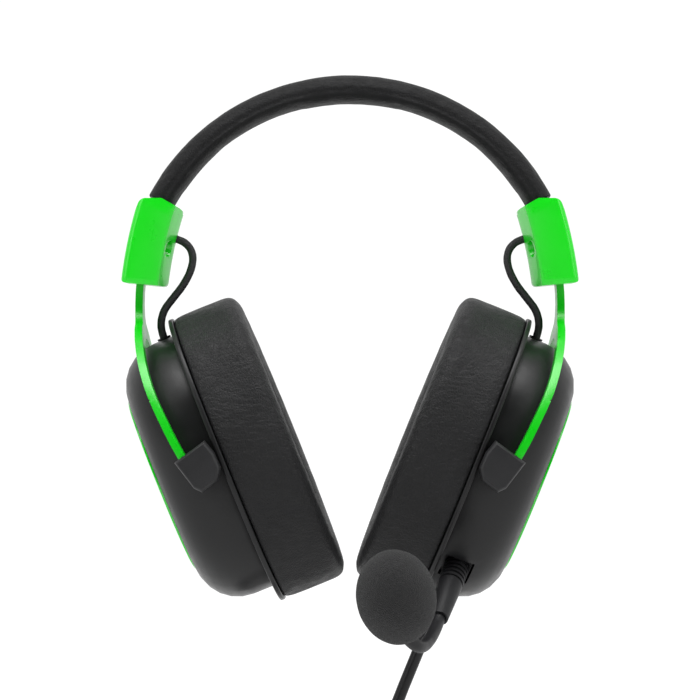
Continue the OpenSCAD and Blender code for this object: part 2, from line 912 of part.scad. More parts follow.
module mic_capsule() {
    color("silver")
        at_foam() translate([0, 0, -1]) cylinder(r = capsule_r - 1, h = 5);
}

module windscreen() {
    half = foam_l / 2;
    color([0.2, 0.2, 0.2])
        at_foam()
            difference() {
                rotate_extrude()
                    polygon([for (i = [0 : 18])
                        let (a = -90 + 10 * i)
                            [i == 0 || i == 18 ? 0 : foam_d / 2 * cos(a), half * sin(a)]]);
                translate([0, 0, -half - 1]) cylinder(r = capsule_r, h = half + 6);
            }
}

// ---------- right-hand copies ----------

module right_clip() other_side() left_clip();
module right_clip_cover() other_side() left_clip_cover();
module right_clip_screws() other_side() left_clip_screws();
module right_slider_guide() other_side() left_slider_guide();
module right_yoke() other_side() left_yoke();
module right_front_pivot_block() other_side() left_front_pivot_block();
module right_rear_pivot_block() other_side() left_rear_pivot_block();
module right_pivot_pins() other_side() left_pivot_pins();
module right_link_cable() other_side() left_link_cable();
module right_face_plate() other_side() left_face_plate();
module right_badge() other_side() left_badge();
module right_baffle() other_side() left_baffle();
module right_driver_basket() other_side() left_driver_basket();
module right_driver_magnet() other_side() left_driver_magnet();
module right_driver_diaphragm() other_side() left_driver_diaphragm();
module right_ear_cushion() other_side() left_ear_cushion();
module right_speaker_cloth() other_side() left_speaker_cloth();
module right_baffle_screws() other_side() left_baffle_screws();
module right_cable_grommet() other_side() left_cable_grommet();

headband_cover();
headband_foam();
headband_core();
spring_band();
left_clip();
left_clip_cover();
left_clip_screws();
left_slider_guide();
right_clip();
right_clip_cover();
right_clip_screws();
right_slider_guide();
left_yoke();
left_front_pivot_block();
left_rear_pivot_block();
left_pivot_pins();
left_link_cable();
right_yoke();
right_front_pivot_block();
right_rear_pivot_block();
right_pivot_pins();
right_link_cable();
left_shell();
left_face_plate();
left_badge();
left_baffle();
left_driver_basket();
left_driver_magnet();
left_driver_diaphragm();
left_ear_cushion();
left_speaker_cloth();
left_baffle_screws();
left_cable_grommet();
right_shell();
right_face_plate();
right_badge();
right_baffle();
right_driver_basket();
right_driver_magnet();
right_driver_diaphragm();
right_ear_cushion();
right_speaker_cloth();
right_baffle_screws();
right_cable_grommet();
mic_jack();
circuit_board();
lead_strain_relief();
audio_lead();
audio_lead_coil();
lead_tie();
plug_body();
plug_pin();
mic_plug_pin();
mic_plug_collar();
mic_grip();
mic_boom();
mic_capsule_housing();
mic_capsule();
windscreen();
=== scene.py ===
"""Gaming headset: the looks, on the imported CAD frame. Metres, +Z up, the wearer faces -Y."""

import json
import math

import bmesh
import bpy
from mathutils import Matrix, Vector, noise


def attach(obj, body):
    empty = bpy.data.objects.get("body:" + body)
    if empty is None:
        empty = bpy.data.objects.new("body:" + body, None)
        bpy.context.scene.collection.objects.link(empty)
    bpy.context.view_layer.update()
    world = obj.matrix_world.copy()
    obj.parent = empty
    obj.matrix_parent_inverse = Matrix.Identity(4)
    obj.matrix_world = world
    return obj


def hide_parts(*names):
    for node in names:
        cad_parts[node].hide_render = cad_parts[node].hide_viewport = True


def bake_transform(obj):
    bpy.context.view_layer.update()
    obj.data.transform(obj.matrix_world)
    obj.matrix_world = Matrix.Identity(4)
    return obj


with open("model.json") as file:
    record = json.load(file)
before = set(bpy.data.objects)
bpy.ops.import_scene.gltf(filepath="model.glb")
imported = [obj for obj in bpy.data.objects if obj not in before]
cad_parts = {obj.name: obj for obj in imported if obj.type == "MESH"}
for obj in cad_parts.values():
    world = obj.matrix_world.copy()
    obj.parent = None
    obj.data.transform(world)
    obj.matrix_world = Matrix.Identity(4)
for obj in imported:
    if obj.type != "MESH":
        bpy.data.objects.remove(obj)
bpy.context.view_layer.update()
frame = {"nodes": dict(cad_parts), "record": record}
nodes = frame["nodes"]
MM = 0.001


def mm(points):
    """Points from millimetres to vectors in metres."""
    return [Vector(p) * MM for p in points]


# ---------- places, as in the CAD source ----------

CUP_LEAN = math.radians(22)
CUP = Matrix.Translation((0.0444, 0, -0.1287)) @ Matrix.Rotation(math.pi / 2 + CUP_LEAN, 4, "Y")
MIRROR = Matrix.Diagonal((-1, 1, 1, 1))
SIDES = {"left": Matrix.Identity(4), "right": MIRROR}
FOAM = (
    Matrix.Translation((0.0155, -0.0865, -0.172))
    @ Matrix.Rotation(math.radians(-10), 4, "Y")
    @ Matrix.Rotation(math.radians(35), 4, "X")
)
OVAL_POWER = 2.3


def oval(height, width, count):
    """Points of an oval that is fuller than an ellipse."""
    points = []
    for i in range(count):
        c, s = math.cos(2 * math.pi * i / count), math.sin(2 * math.pi * i / count)
        x = math.copysign(abs(c) ** (2 / OVAL_POWER), c) * height / 2
        y = math.copysign(abs(s) ** (2 / OVAL_POWER), s) * width / 2
        points.append((x, y))
    return points


# ---------- camera ----------

CAMERA_PLACE = (0, -1.2, -0.0892)
CAMERA_LENS = 170.5


def make_camera():
    """Straight on from the front, far enough away for the photograph's weak perspective."""
    data = bpy.data.cameras.new("camera")
    data.lens = CAMERA_LENS
    data.sensor_width = 36
    data.clip_start = 0.05
    data.clip_end = 20
    camera = bpy.data.objects.new("camera", data)
    camera.location = CAMERA_PLACE
    camera.rotation_euler = (math.pi / 2, 0, 0)
    bpy.context.scene.collection.objects.link(camera)
    bpy.context.scene.camera = camera


# ---------- meshes ----------


def new_object(name, data):
    """New object in the scene."""
    obj = bpy.data.objects.new(name, data)
    bpy.context.scene.collection.objects.link(obj)
    return obj


def ring_mesh(name, rings, closed=False, place=None):
    """Smooth mesh through rings of points. It closes on itself, or its two ends are capped."""
    bm = bmesh.new()
    made = [[bm.verts.new(p) for p in ring] for ring in rings]
    count = len(rings[0])
    pairs = list(zip(made, made[1:]))
    if closed:
        pairs.append((made[-1], made[0]))
    for a, b in pairs:
        for k in range(count):
            j = (k + 1) % count
            bm.faces.new((a[k], b[k], b[j], a[j]))
    if not closed:
        bm.faces.new(made[0])
        bm.faces.new(made[-1])
    if place is not None:
        bm.transform(place)
    bmesh.ops.recalc_face_normals(bm, faces=bm.faces)
    mesh = bpy.data.meshes.new(name)
    bm.to_mesh(mesh)
    bm.free()
    mesh.polygons.foreach_set("use_smooth", [True] * len(mesh.polygons))
    mesh.update()
    return new_object(name, mesh)


def smooth_path(points, step):
    """Catmull-Rom curve through the points, one point about every step along it."""
    ends = [2 * points[0] - points[1]] + list(points) + [2 * points[-1] - points[-2]]
    path = []
    for k in range(1, len(ends) - 2):
        a, b, c, d = ends[k - 1 : k + 3]
        n = max(1, round((c - b).length / step))
        for i in range(n):
            t = i / n
            path.append(
                0.5
                * (
                    2 * b
                    + (c - a) * t
                    + (2 * a - 5 * b + 4 * c - d) * t * t
                    + (3 * b - a - 3 * c + d) * t**3
                )
            )
    path.append(Vector(points[-1]))
    return path


def tube(name, path, radius, sides=16, relief=None):
    """Round tube along a path. relief(length so far, angle) multiplies the radius."""
    rings = []
    side = None
    so_far = 0
    for i, point in enumerate(path):
        before, after = path[max(i - 1, 0)], path[min(i + 1, len(path) - 1)]
        tangent = (after - before).normalized()
        so_far += (point - before).length
        if side is None:
            side = tangent.cross(Vector((0.1, 0.2, 1)))
        side = (side - tangent * side.dot(tangent)).normalized()
        up = tangent.cross(side)
        ring = []
        for k in range(sides):
            angle = 2 * math.pi * k / sides
            r = radius * (relief(so_far, angle) if relief else 1)
            ring.append(point + r * (math.cos(angle) * side + math.sin(angle) * up))
        rings.append(ring)
    return ring_mesh(name, rings)


def ease(t):
    """Smooth step from 0 to 1."""
    t = min(1, max(0, t))
    return t * t * (3 - 2 * t)


def subdivide(obj, levels=1):
    modifier = obj.modifiers.new("subdivision", "SUBSURF")
    modifier.levels = levels
    modifier.render_levels = levels


# ---------- audio lead ----------

LEAD_D = 0.0044
LEAD_PITCH = 4.5
LEAD_ROUTE = [
    (27.9, 0, -190.1), (26, 0, -194.8), (23, 0, -202.2), (19.6, 0, -210.5), (16.4, 0, -218.4),
    (12.9, 0, -224.5), (7.6, 0, -229.3), (1.2, 0, -232.4), (-5.8, 0, -233.4),
]
COIL_CENTRE = (-5.8, 29.4)
COIL_TOP = -233.4
COIL_RADII = [29.4, 24.9, 20.4]
COIL_LAYERS = 4
COIL_STEPS = 48
# share of a turn at which the lead starts to change over to the next turn, and how long it takes
CHANGE_FROM = 0.76
CHANGE_OVER = 0.22
PLUG_START = (10, 58.8, -245.1)


def coil_turns():
    """Radius and height of each turn: inwards in the first layer, outwards in the next."""
    turns = []
    for layer in range(COIL_LAYERS):
        radii = COIL_RADII if layer % 2 == 0 else COIL_RADII[::-1]
        turns += [(r, COIL_TOP - layer * LEAD_PITCH) for r in radii]
    return turns


def coil_path():
    """Turns that run clockwise seen from above, from the middle of the near side."""
    turns = coil_turns()
    points = []
    for k, (radius, height) in enumerate(turns):
        last = k == len(turns) - 1
        next_radius, next_height = turns[k if last else k + 1]
        for i in range(1, COIL_STEPS + (COIL_STEPS // 2 if last else 0) + 1):
            t = i / COIL_STEPS
            change = ease((t - CHANGE_FROM) / CHANGE_OVER)
            r = radius + (next_radius - radius) * change
            z = height + (next_height - height) * change
            angle = -math.pi / 2 - 2 * math.pi * t
            x = COIL_CENTRE[0] + r * math.cos(angle)
            points.append((x, COIL_CENTRE[1] + r * math.sin(angle), z))
    return mm(points)


def lead_path():
    coil = coil_path()
    plug = Vector(PLUG_START) * MM
    way = [
        coil[-1] + Vector((0.004, 0, 0.0002)),
        coil[-1] + Vector((0.009, 0, 0.0011)),
        plug - Vector((0.0025, 0, 0.0003)),
        plug,
    ]
    return smooth_path(mm(LEAD_ROUTE), 0.0022) + coil + way


def make_lead():
    path = lead_path()
    lead = tube("lead", path, LEAD_D / 2, 16)
    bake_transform(lead)
    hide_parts("audio_lead", "audio_lead_coil")
    return lead


TIE_HALF = 4
TIE_T = 0.7
TIE_CORNER = 2.2
TIE_LAP = 11
TIE_BEVEL = 0.00018


def make_tie():
    """Woven strap once round the coil's turns, with its end lapped on top."""
    lead_r = LEAD_D / MM / 2
    inner = COIL_RADII[-1] - lead_r - 0.6
    outer = COIL_RADII[0] + lead_r + 0.2
    top = COIL_TOP + lead_r + 0.1
    bottom = COIL_TOP - (COIL_LAYERS - 1) * LEAD_PITCH - lead_r - 0.1
    corner = TIE_CORNER
    loop = []
    for cx, cz, start in (
        (-inner - corner, top - corner, 0),
        (-outer + corner, top - corner, 90),
        (-outer + corner, bottom + corner, 180),
        (-inner - corner, bottom + corner, 270),
    ):
        for a in range(0, 91, 15):
            angle = math.radians(start + a)
            loop.append((cx, cz, math.cos(angle), math.sin(angle), corner))
    lap_start = len(loop)
    loop += [(cx, cz, c, s, r + TIE_T + 0.05) for cx, cz, c, s, r in loop[:TIE_LAP]]
    rings = []
    for k, (cx, cz, c, s, r) in enumerate(loop):
        lift = 0 if k < lap_start else min(1, (k - lap_start + 1) / 3)
        base = corner + (r - corner) * lift
        ring = []
        for y, d in ((-TIE_HALF, 0), (TIE_HALF, 0), (TIE_HALF, TIE_T), (-TIE_HALF, TIE_T)):
            place = (COIL_CENTRE[0] + cx + c * (base + d), COIL_CENTRE[1] + y, cz + s * (base + d))
            ring.append(Vector(place) * MM)
        rings.append(ring)
    tie = ring_mesh("coil_tie", rings)
    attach(tie, "left_yoke")
    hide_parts("lead_tie")
    bevel(tie, TIE_BEVEL, 2)
    return tie


# ---------- link cables ----------

LINK_D = 0.0028
LINK_ROUTE = [
    (69.5, 0, -46.9), (67.3, 0, -47.7), (65, 0, -48.4), (62.4, 0, -49.2), (59.7, 0, -50.5),
    (57.6, 0, -53), (56.9, 0, -56.6), (58, 0, -61.2), (60.6, 0, -66), (63.9, 0, -70.3),
    (66.8, 0, -74.2), (68.1, 0, -77.6), (68.3, 0, -81), (67.5, 0, -84.4), (66.4, 0, -87.2),
]
LINK_SPLIT_Z = -0.066
BRAID_PITCH = 0.0052
BRAID_STRANDS = 8
BRAID_RELIEF = 0.035
BRAID_SINK = 0.02


def braid(length, angle):
    """Crossing strands of a braided sleeve."""
    turn = length / BRAID_PITCH * 2 * math.pi
    one = math.sin(BRAID_STRANDS * angle + turn)
    other = math.sin(BRAID_STRANDS * angle - turn)
    return 1 + BRAID_RELIEF * max(one, other) - BRAID_SINK


def make_link_cables():
    """Two lengths a side, which meet on the yoke, so that each crosses one joint."""
    made = []
    for side, place in SIDES.items():
        path = [place @ p for p in smooth_path(mm(LINK_ROUTE), 0.00035)]
        cut = next(i for i, p in enumerate(path) if p.z < LINK_SPLIT_Z)
        upper = tube(f"link_cable_upper_{side}", path[: cut + 1], LINK_D / 2, 32, braid)
        lower = tube(f"link_cable_lower_{side}", path[cut:], LINK_D / 2, 32, braid)
        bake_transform(upper)
        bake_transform(lower)
        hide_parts(f"{side}_link_cable")
        made += [upper, lower]
    return made


# ---------- microphone ----------

BOOM_D = 0.0045
BOOM_ROUTE = [
    (33.1, -39.8, -177.2), (31.56, -44.69, -181), (30.14, -49.2, -184.5), (28.6, -55, -187.2),
    (26.8, -61, -189.3), (25, -67, -190.3), (23, -72.4, -189.9), (20.3, -75.9, -187.6),
    (18.4, -78, -184.7), (17.22, -79.56, -181.76), (16.71, -81.62, -178.86),
]
# points left out at the start of the smoothed route
BOOM_SKIP = 6


def make_boom():
    """Gooseneck from the grip to the capsule."""
    path = smooth_path(mm(BOOM_ROUTE), 0.0008)
    boom = tube("gooseneck", path[BOOM_SKIP:], BOOM_D / 2, 32)
    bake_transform(boom)
    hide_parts("mic_boom")
    return boom


FOAM_HALF = 17.6
FOAM_R = 13.5
FOAM_MOUTH = 4.7
FOAM_SINK = 0.35
FOAM_ROWS = 56
FOAM_AROUND = 96


def make_windscreen():
    """Foam cap: an egg of foam, turned in at the mouth where the boom enters."""
    profile = []
    lowest = math.asin(FOAM_MOUTH / FOAM_R)
    for i in range(FOAM_ROWS + 1):
        a = -math.pi / 2 + lowest + (math.pi - lowest) * i / FOAM_ROWS
        profile.append((max(FOAM_R * math.cos(a), 0.02), FOAM_HALF * math.sin(a)))
    bottom = profile[0][1]
    mouth = [(FOAM_MOUTH - inset, bottom + up) for inset, up in ((0.3, 5), (0.4, 1.6), (0.2, 0.5))]
    rings = []
    for r, z in mouth + profile:
        ring = []
        for k in range(FOAM_AROUND):
            angle = 2 * math.pi * k / FOAM_AROUND
            point = Vector((r * math.cos(angle), r * math.sin(angle), z - FOAM_SINK))
            if r > FOAM_MOUTH:
                point *= 1 + 0.006 * noise.noise(point * 0.16) + 0.0035 * noise.noise(point * 1.4)
            ring.append(point * MM)
        rings.append(ring)
    foam = ring_mesh("foam_windscreen", rings, place=FOAM)
    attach(foam, "mic_tip")
    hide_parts("windscreen")
    subdivide(foam)
    return foam


# ---------- cloth ----------

CLOTH_STEPS = 20


def settle(obj, pinned, pressure, cap, growth):
    """Swells a closed mesh as cloth round its pinned points, and keeps each point within cap."""
    group = obj.vertex_groups.new(name="pinned")
    group.add(pinned, 1, "REPLACE")
    cloth = obj.modifiers.new("cloth", "CLOTH")
    settings = cloth.settings
    settings.quality = 6
    settings.mass = 0.15
    settings.bending_stiffness = 0.05
    settings.use_pressure = True
    settings.uniform_pressure_force = pressure
    settings.vertex_group_mass = "pinned"
    settings.shrink_min = -growth
    settings.effector_weights.gravity = 0
    cloth.collision_settings.use_collision = False
    scene = bpy.context.scene
    for step in range(1, CLOTH_STEPS + 1):
        scene.frame_set(step)
    depsgraph = bpy.context.evaluated_depsgraph_get()
    settled = [v.co.copy() for v in obj.evaluated_get(depsgraph).data.vertices]
    obj.modifiers.remove(cloth)
    obj.vertex_groups.remove(group)
    scene.frame_set(1)
    for vertex, target in zip(obj.data.vertices, settled):
        move = target - vertex.co
        if move.length > cap:
            move *= cap / move.length
        vertex.co += move
    obj.data.update()


def wrinkle(obj, place, stretch, height, skip):
    """Pushes points in and out along their normals by stretched noise."""
    mesh = obj.data
    back = place.inverted()
    moves = []
    for vertex in mesh.vertices:
        local = back @ vertex.co
        at = Vector([local[k] / stretch[k] for k in range(3)])
        moves.append(vertex.normal * height * noise.fractal(at, 0.6, 2.1, 3))
    for i, move in enumerate(moves):
        if i not in skip:
            mesh.vertices[i].co += move
    mesh.update()


def press_seam(obj, seam, depth, pucker):
    """Pulls the seam's points inwards, a little unevenly, as thread pulls leather."""
    mesh = obj.data
    moves = {}
    for index in seam:
        vertex = mesh.vertices[index]
        pull = depth * (1 + 0.3 * noise.noise(vertex.co * pucker))
        moves[index] = -vertex.normal * pull
    for index, move in moves.items():
        mesh.vertices[index].co += move
    mesh.update()


# ---------- headband sleeve ----------

BAND_R = 72.8
BAND_T = 10
BAND_HALF_W = 11
BAND_END = 62
BAND_SEAM = 4.1
BAND_AROUND = 44
BAND_ALONG = 132
# the section's powers above and below its seams, and its inset across and in thickness
BAND_POWERS = (2.5, 2.7)
BAND_INSET = (0.15, 0.1)
# rings at each end that keep still
BAND_HELD = 7


def band_section():
    """Across and radial offsets round the sleeve, from its front seam over the top."""
    points = []
    for k in range(BAND_AROUND):
        angle = 2 * math.pi * k / BAND_AROUND
        c, s = math.cos(angle), math.sin(angle)
        high = BAND_T - BAND_SEAM if s > 0 else BAND_SEAM
        power = BAND_POWERS[0] if s > 0 else BAND_POWERS[1]
        y = -math.copysign(abs(c) ** (2 / power), c) * (BAND_HALF_W - BAND_INSET[0])
        r = BAND_SEAM + math.copysign(abs(s) ** (2 / power), s) * (high - BAND_INSET[1])
        points.append((y, BAND_R + r))
    return points


def make_sleeve():
    """Leather sleeve round the band's foam, seamed along its front and back."""
    section = band_section()
    rings = []
    for i in range(BAND_ALONG + 1):
        angle = math.radians(-BAND_END + 2 * BAND_END * i / BAND_ALONG)
        rings.append(
            [Vector((r * math.sin(angle), y, -BAND_R + r * math.cos(angle))) * MM for y, r in section]
        )
    sleeve = ring_mesh("headband_sleeve", rings)
    seam, pinned = [], []
    for i in range(BAND_ALONG + 1):
        for k in range(BAND_AROUND):
            index = i * BAND_AROUND + k
            if k in (0, BAND_AROUND // 2):
                seam.append(index)
                pinned.append(index)
            elif i < BAND_HELD or i > BAND_ALONG - BAND_HELD:
                pinned.append(index)
    settle(sleeve, pinned, pressure=3, cap=0.00018, growth=0.004)
    still = set(pinned)
    wrinkle(sleeve, Matrix.Identity(4), (0.009, 0.006, 0.009), 0.0001, still)
    wrinkle(sleeve, Matrix.Identity(4), (0.0028, 0.004, 0.0028), 0.00006, still)
    press_seam(sleeve, seam, depth=0.00042, pucker=420)
    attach(sleeve, "headband")
    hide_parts("headband_cover", "headband_foam")
    subdivide(sleeve, 2)
    return sleeve


# ---------- ear cushions ----------

CUSHION_H = 108.4
CUSHION_W = 87
EAR_H = 62
EAR_W = 42
CUSHION_AROUND = 168
# [share of the way from the outside to the ear hole, depth towards the head], in rows
CUSHION_ROWS = (
    [(0.012, 0.2), (0.0, 1.0)]
    + [(0.0, 1.0 + d) for d in (2, 4.1, 6.2, 8.3, 10.4, 12.5, 14.6, 16.7, 18.4)]
    + [(0.006, 20.9), (0.024, 22.3), (0.058, 23.4), (0.108, 24.25)]
    + [(0.168, 24.75), (0.25, 25.0), (0.37, 25.0), (0.48, 25.0), (0.6, 24.9), (0.71, 24.6), (0.8, 24.0)]
    + [(0.87, 23.1), (0.92, 21.8), (0.955, 20.2), (0.975, 18.2), (0.985, 16)]
    + [(0.99, 13.7), (0.99, 11.3), (0.99, 8.9), (0.99, 6.5), (0.99, 4.1), (0.99, 1.9), (0.98, 0.2)]
    + [(0.85, 0.0), (0.7, 0.0), (0.55, 0.0), (0.4, 0.0), (0.25, 0.0), (0.12, 0.0)]
)
CUSHION_SEAM_ROW = 14
# rows at the back that keep still
CUSHION_BACK_ROWS = 8
# share of the listed depths that is used, and the gap behind the cushion
CUSHION_DEPTH = 0.975
CUSHION_GAP = 0.05
LIP_T = 1.8


def make_cushion():
    """The left cushion: a leather tube round foam, seamed where its side meets its face."""
    outer = oval(CUSHION_H - 0.5, CUSHION_W - 0.5, CUSHION_AROUND)
    inner = oval(EAR_H + 0.6, EAR_W + 0.6, CUSHION_AROUND)
    rings = []
    for share, depth in CUSHION_ROWS:
        ring = []
        for (ox, oy), (ix, iy) in zip(outer, inner):
            z = -LIP_T / 2 - CUSHION_GAP - depth * CUSHION_DEPTH
            ring.append(Vector((ox + share * (ix - ox), oy + share * (iy - oy), z)) * MM)
        rings.append(ring)
    cushion = ring_mesh("cushion_skin_left", rings, closed=True, place=CUP)
    count = CUSHION_AROUND
    last = len(CUSHION_ROWS)
    back = set(range(last - CUSHION_BACK_ROWS, last))
    pinned = [r * count + k for r in {0, 1} | back for k in range(count)]
    settle(cushion, pinned, pressure=4, cap=0.0005, growth=0.008)
    still = {r * count + k for r in {0} | back for k in range(count)}
    wrinkle(cushion, CUP, (0.012, 0.012, 0.03), 0.0001, still)
    wrinkle(cushion, CUP, (0.0035, 0.0035, 0.011), 0.00007, still)
    seam = [CUSHION_SEAM_ROW * count + k for k in range(count)]
    press_seam(cushion, seam, depth=0.00026, pucker=500)
    return cushion


def mirrored_copy(obj, name):
    """Copy of a mesh object for the wearer's other side."""
    mesh = obj.data.copy()
    mesh.name = name
    mesh.transform(MIRROR)
    mesh.flip_normals()
    return new_object(name, mesh)


def make_cushions():
    """Both ear cushions, the right one a mirror image of the left."""
    left = make_cushion()
    right = mirrored_copy(left, "cushion_skin_right")
    for side, cushion in (("left", left), ("right", right)):
        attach(cushion, f"{side}_cup")
        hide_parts(f"{side}_ear_cushion")
        subdivide(cushion)
    return left, right


KNIT_DOME = 1.1
KNIT_T = 0.0003
KNIT_AROUND = 96
KNIT_SHARES = (1, 0.97, 0.9, 0.8, 0.68, 0.55, 0.42, 0.29, 0.16, 0.05, 0.003)


def make_speaker_cloths():
    """Thin knit disc in each ear well, domed a little over the driver."""
    made = []
    height, width = EAR_H - 1.0, EAR_W - 1.0
    for side, place in SIDES.items():
        rings = []
        for share in KNIT_SHARES:
            dome = KNIT_DOME * (1 - share**3)
            ring = []
            for x, y in oval(height * share, width * share, KNIT_AROUND):
                ripple = 0.06 * noise.noise(Vector((x, y, 0)) * 0.25)
                ring.append(Vector((x, y, -LIP_T / 2 - 0.45 - dome - ripple)) * MM)
            rings.append(ring)
        back = [[p + Vector((0, 0, KNIT_T)) for p in ring] for ring in reversed(rings)]
        cloth = ring_mesh(f"speaker_knit_{side}", rings + back, True, place @ CUP)
        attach(cloth, f"{side}_cup")
        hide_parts(f"{side}_speaker_cloth")
        made.append(cloth)
    return made


# ---------- shading helpers ----------


class Shader:
    """Builds one procedural material in object space."""

    def __init__(self, name):
        self.material = bpy.data.materials.new(name)
        self.material.use_nodes = True
        self.tree = self.material.node_tree
        self.bsdf = self.tree.nodes["Principled BSDF"]
        self.coords = self.tree.nodes.new("ShaderNodeTexCoord").outputs["Object"]
        self.normal = None

    def node(self, kind, inputs=None, **settings):
        """New node. An input is a value, or another node's output to link."""
        made = self.tree.nodes.new(kind)
        for key, value in settings.items():
            setattr(made, key, value)
        for key, value in (inputs or {}).items():
            if isinstance(value, bpy.types.NodeSocket):
                self.tree.links.new(value, made.inputs[key])
            else:
                made.inputs[key].default_value = value
        return made

    def mapped(self, stretch, lean):
        """Object coordinates turned by lean about Y, then scaled by stretch."""
        turned = self.node("ShaderNodeMapping", {"Vector": self.coords, "Rotation": (0, lean, 0)})
        return self.node(
            "ShaderNodeMapping", {"Vector": turned.outputs["Vector"], "Scale": stretch}
        ).outputs["Vector"]

    def noise(self, scale, detail=3, stretch=(1, 1, 1), lean=0, rough=0.5):
        """Layered noise."""
        vector = self.mapped(stretch, lean)
        return self.node(
            "ShaderNodeTexNoise",
            {"Vector": vector, "Scale": scale, "Detail": detail, "Roughness": rough},
        ).outputs["Fac"]

    def cells(self, scale, stretch=(1, 1, 1), lean=0):
        """Raised cells with creases between them."""
        vector = self.mapped(stretch, lean)
        edge = self.node(
            "ShaderNodeTexVoronoi", {"Vector": vector, "Scale": scale}, feature="DISTANCE_TO_EDGE"
        ).outputs["Distance"]
        return self.range(edge, (0, 0.22), (0, 1))

    def weave(self, scale):
        """Crossing threads."""
        inputs = {"Vector": self.coords, "Scale": scale}
        x, y, z = [
            self.node("ShaderNodeTexWave", inputs, bands_direction=way).outputs["Fac"] for way in "XYZ"
        ]
        return self.math("MAXIMUM", self.math("MAXIMUM", x, y), z)

    def math(self, operation, a, b):
        """Result of one sum or comparison."""
        return self.node("ShaderNodeMath", {0: a, 1: b}, operation=operation).outputs[0]

    def range(self, value, given, wanted):
        """Value moved from one range to another, and held inside it."""
        return self.node(
            "ShaderNodeMapRange",
            {"Value": value, "From Min": given[0], "From Max": given[1],
             "To Min": wanted[0], "To Max": wanted[1]},
        ).outputs["Result"]

    def bump(self, height, distance, strength=1.0):
        """Adds relief on top of any bump so far."""
        inputs = {"Height": height, "Distance": distance, "Strength": strength}
        if self.normal is not None:
            inputs["Normal"] = self.normal
        self.normal = self.node("ShaderNodeBump", inputs).outputs["Normal"]
        self.tree.links.new(self.normal, self.bsdf.inputs["Normal"])

    def colour(self, dark, light, factor):
        """Base colour, from dark to light by factor."""
        mix = self.node("ShaderNodeMix", data_type="RGBA")
        self.tree.links.new(factor, mix.inputs["Factor"])
        mix.inputs[6].default_value = (*dark, 1)
        mix.inputs[7].default_value = (*light, 1)
        self.tree.links.new(mix.outputs[2], self.bsdf.inputs["Base Color"])

    def roughness(self, factor, low, high):
        """Roughness, from low to high by factor."""
        value = self.range(factor, (0.3, 0.7), (low, high))
        self.tree.links.new(value, self.bsdf.inputs["Roughness"])

    def set(self, **constants):
        """Sets values that are the same all over on the shader's own sockets."""
        for key, value in constants.items():
            self.bsdf.inputs[key.replace("_", " ")].default_value = value


def shades(colour, spread):
    """A darker and a lighter shade of a colour."""
    return [tuple(c * (1 + k * spread) for c in colour) for k in (-1, 1)]


def hard_material(name, colour, rough, spread, patch, grain, constants):
    """Moulded, painted or metal surface: mottled colour, uneven gloss and a fine grain."""
    shader = Shader(name)
    shader.colour(*shades(colour, spread), shader.noise(patch, 4))
    shader.roughness(shader.noise(patch * 2.3, 4), *rough)
    grain_scale, grain_height = grain
    shader.bump(shader.noise(grain_scale, 4), grain_height)
    shader.set(**constants)
    return shader.material


# heights between which the folds grow, going up
FOLD_HEIGHTS = (-0.2, -0.1)


def leather(name, colour, lean, depth=1.0, rough=(0.42, 0.58)):
    """Imitation leather: pebbled cells, and fine folds across the pad that fade lower down."""
    shader = Shader(name)
    height = shader.node("ShaderNodeSeparateXYZ", {"Vector": shader.coords}).outputs["Z"]
    patches = shader.range(shader.noise(28, 2), (0.35, 0.65), (0.35, 1))
    strength = shader.math("MULTIPLY", patches, shader.range(height, FOLD_HEIGHTS, (0.4, 1.15)))
    folds = shader.math("MULTIPLY", shader.noise(680, 4, (0.45, 0.9, 1), lean, 0.55), strength)
    cells = shader.cells(1150, (1, 1, 0.6), lean)
    shader.colour(*shades(colour, 0.3), shader.noise(60, 5))
    shader.roughness(shader.noise(260, 4), *rough)
    shader.bump(shader.noise(130, 3, (0.5, 1, 1), lean), 0.0006 * depth, 0.5)
    shader.bump(folds, 0.00075 * depth, 1.0)
    shader.bump(cells, 0.00012 * depth, 0.8)
    shader.set(Specular_IOR_Level=0.24, Sheen_Weight=0.02, Sheen_Roughness=0.4)
    return shader.material


def foam_material(name, colour):
    """Open foam with fine pores."""
    shader = Shader(name)
    pores = shader.cells(1500)
    shader.colour(*shades(colour, 0.35), shader.noise(900, 4))
    shader.roughness(shader.noise(700), 0.85, 1.0)
    shader.bump(pores, 0.00035, 0.8)
    shader.bump(shader.noise(2600, 3), 0.0002, 0.7)
    shader.set(Specular_IOR_Level=0.15, Sheen_Weight=0.08, Sheen_Roughness=0.6)
    return shader.material


def cloth_material(name, colour, scale):
    """Woven or knitted cloth with a soft sheen."""
    shader = Shader(name)
    threads = shader.weave(scale)
    shader.colour(*shades(colour, 0.5), threads)
    shader.roughness(shader.noise(400), 0.75, 0.95)
    shader.bump(threads, 0.00025, 0.9)
    shader.set(Specular_IOR_Level=0.25, Sheen_Weight=0.3)
    return shader.material


GREEN = (0.002, 0.62, 0.005)
# Green of the yoke's paint: the clips' green, darkened throughout as painted shade for the yoke's
# narrow edges, which get less light.
SHADED_YOKE_GREEN = (0.0015, 0.47, 0.004)
CUSHION_BLACK = (0.009, 0.009, 0.0095)
MATT = {"Specular_IOR_Level": 0.28}
METAL = {"Metallic": 1.0}
